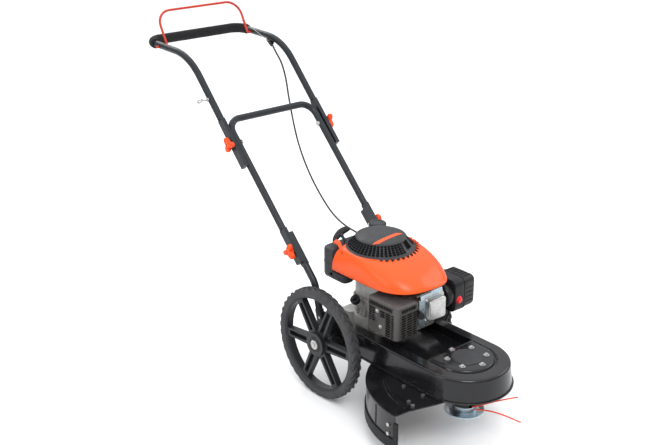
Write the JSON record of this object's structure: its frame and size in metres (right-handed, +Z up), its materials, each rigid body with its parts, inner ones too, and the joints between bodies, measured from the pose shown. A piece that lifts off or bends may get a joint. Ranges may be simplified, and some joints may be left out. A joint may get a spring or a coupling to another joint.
{
  "type": "wheeled string trimmer mower",
  "caption": "Walk-behind wheeled string trimmer with a vertical-shaft engine, belt-driven trimmer head, spoked wheels, side guard and folding handle.",
  "frame": {"origin": "on the ground under the middle of the machine's box, without its trimmer lines and brake cable", "axes": "+X across the machine, away from the side guard; +Y towards the operator; +Z up"},
  "size_m": [0.5038, 1.4891, 1.057],
  "materials": {
    "black_steel": "gloss black powder coat",
    "tube_paint": "satin black powder coat",
    "bright_steel": "zinc plated fasteners",
    "zinc_plate": "blue zinc plate",
    "tyre_rubber": "dark rubber with a herringbone tread",
    "rim_plastic": "dark grey moulded plastic",
    "orange_plastic": "orange moulded plastic",
    "grey_plastic": "textured charcoal plastic",
    "black_plastic": "black moulded plastic",
    "red_plastic": "red rubbery plastic",
    "cast_aluminium": "as cast",
    "machined_steel": "machined",
    "foam": "closed cell foam",
    "skirt_rubber": "flexible black rubber",
    "bail_paint": "orange red coating",
    "belt_rubber": "belt",
    "cable_sheath": "black cable sheath",
    "line_nylon": "orange red nylon line",
    "bronze": "sintered bronze"
  },
  "bodies": {
    "chassis": {"deck_shell": "black_steel", "belt_cover": "black_steel", "deck_bolts": "bright_steel", "spindle_housing": "cast_aluminium", "spindle_bearings": "machined_steel", "side_plate": "black_steel", "debris_shield": "black_steel", "shield_skirt": "skirt_rubber", "axle": "machined_steel", "axle_nuts": "bright_steel", "axle_brackets": "black_steel", "frame_tube_left": "tube_paint", "frame_tube_right": "tube_paint", "frame_bolts": "bright_steel", "crankcase": "cast_aluminium", "cylinder_block": "cast_aluminium", "valve_cover": "bright_steel", "spark_plug": "black_plastic", "muffler": "bright_steel", "muffler_guard": "grey_plastic", "carburettor": "cast_aluminium", "air_filter_box": "black_plastic", "shroud": "orange_plastic", "recoil_cover": "grey_plastic", "fuel_tank": "grey_plastic", "drive_belt": "belt_rubber", "brake_cable_lower": "cable_sheath"},
    "wheel_left": {"rim_left": "rim_plastic", "tyre_left": "tyre_rubber", "wheel_bush_left": "bronze"},
    "wheel_right": {"rim_right": "rim_plastic", "tyre_right": "tyre_rubber", "wheel_bush_right": "bronze"},
    "crank": {"crankshaft": "machined_steel", "flywheel": "cast_aluminium", "drive_pulley": "machined_steel"},
    "trimmer_head": {"spindle": "machined_steel", "driven_pulley": "machined_steel", "head_hub": "black_plastic", "glide_disc": "zinc_plate", "trimmer_line_front": "line_nylon", "trimmer_line_rear": "line_nylon"},
    "lower_handle": {"lower_handle": "tube_paint", "handle_bolts": "bright_steel", "brake_cable_upper": "cable_sheath"},
    "upper_handle": {"upper_handle": "tube_paint", "foam_grip": "foam", "cable_bracket": "black_steel", "rope_guide": "bright_steel"},
    "bail": {"bail": "bail_paint"},
    "knob_lower_left": {"knob_lower_left": "orange_plastic"},
    "knob_lower_right": {"knob_lower_right": "orange_plastic"},
    "knob_upper_left": {"knob_upper_left": "orange_plastic"},
    "knob_upper_right": {"knob_upper_right": "orange_plastic"},
    "starter_handle": {"starter_handle": "black_plastic"},
    "recoil_reel": {"recoil_reel": "black_plastic"},
    "primer_bulb": {"primer_bulb": "red_plastic"},
    "fuel_cap": {"fuel_cap": "grey_plastic"},
    "dipstick": {"dipstick": "black_plastic"},
    "brake_lever": {"brake_lever": "machined_steel"}
  },
  "joints": [
    {"name": "wheel_left_spin", "type": "hinge", "parent": "chassis", "child": "wheel_left", "pos_m": [-0.15521, -0.17125, 0.175], "axis": [1, 0, 0], "continuous": true},
    {"name": "wheel_right_spin", "type": "hinge", "parent": "chassis", "child": "wheel_right", "pos_m": [0.22879, -0.17125, 0.175], "axis": [1, 0, 0], "continuous": true},
    {"name": "crank_spin", "type": "hinge", "parent": "chassis", "child": "crank", "pos_m": [0.03679, -0.23125, 0.4], "axis": [0, 0, 1], "continuous": true},
    {"name": "head_spin", "type": "hinge", "parent": "chassis", "child": "trimmer_head", "pos_m": [0.03679, -0.59225, 0.1], "axis": [0, 0, 1], "continuous": true},
    {"name": "lower_handle_fold", "type": "hinge", "parent": "chassis", "child": "lower_handle", "pos_m": [0.03679, -0.02625, 0.425], "axis": [1, 0, 0], "range_deg": [0, 100], "deforming": ["brake_cable_lower"]},
    {"name": "upper_handle_fold", "type": "hinge", "parent": "lower_handle", "child": "upper_handle", "pos_m": [0.03679, 0.24475, 0.704], "axis": [1, 0, 0], "range_deg": [-120, 0], "deforming": ["brake_cable_upper"]},
    {"name": "bail_pivot", "type": "hinge", "parent": "upper_handle", "child": "bail", "pos_m": [0.03679, 0.63375, 0.947], "axis": [1, 0, 0], "range_deg": [-35, 0], "stiffness_Nm_per_rad": 0.6, "springref_deg": 28.65},
    {"name": "brake_release", "type": "hinge", "parent": "chassis", "child": "brake_lever", "pos_m": [0.12879, -0.18325, 0.41], "axis": [0, 0, 1], "range_deg": [-8, 0.01]},
    {"name": "starter_pull", "type": "slide", "parent": "chassis", "child": "starter_handle", "axis": [0, 0.8, 0.6], "range_m": [0, 0.45], "stiffness_N_per_m": 15, "springref_m": -0.12},
    {"name": "reel_spin", "type": "hinge", "parent": "chassis", "child": "recoil_reel", "pos_m": [0.03679, -0.23125, 0.464], "axis": [0, 0, 1], "range_deg": [-1, 720]},
    {"name": "primer_press", "type": "slide", "parent": "chassis", "child": "primer_bulb", "axis": [0, 1, 0], "range_m": [0, 0.004], "stiffness_N_per_m": 300, "springref_m": -0.002},
    {"name": "fuel_cap_turn", "type": "hinge", "parent": "chassis", "child": "fuel_cap", "pos_m": [0.12879, -0.11925, 0.47], "axis": [0, 0, 1], "continuous": true},
    {"name": "dipstick_turn", "type": "hinge", "parent": "chassis", "child": "dipstick", "pos_m": [-0.05101, -0.22125, 0.30091], "axis": [-0.6712, 0, 0.7413], "continuous": true},
    {"name": "knob_lower_left_turn", "type": "hinge", "parent": "chassis", "child": "knob_lower_left", "pos_m": [-0.15321, -0.02625, 0.425], "axis": [1, 0, 0], "continuous": true},
    {"name": "knob_lower_right_turn", "type": "hinge", "parent": "chassis", "child": "knob_lower_right", "pos_m": [0.22679, -0.02625, 0.425], "axis": [1, 0, 0], "continuous": true},
    {"name": "knob_upper_left_turn", "type": "hinge", "parent": "lower_handle", "child": "knob_upper_left", "pos_m": [-0.15321, 0.24475, 0.704], "axis": [1, 0, 0], "continuous": true},
    {"name": "knob_upper_right_turn", "type": "hinge", "parent": "lower_handle", "child": "knob_upper_right", "pos_m": [0.22679, 0.24475, 0.704], "axis": [1, 0, 0], "continuous": true}
  ],
  "couplings": [
    {"joint": "head_spin", "follows": "crank_spin", "ratio": 0.6667},
    {"joint": "brake_release", "follows": "bail_pivot", "ratio": 0.2},
    {"joint": "reel_spin", "follows": "starter_pull", "rad_per_m": 27}
  ]
}
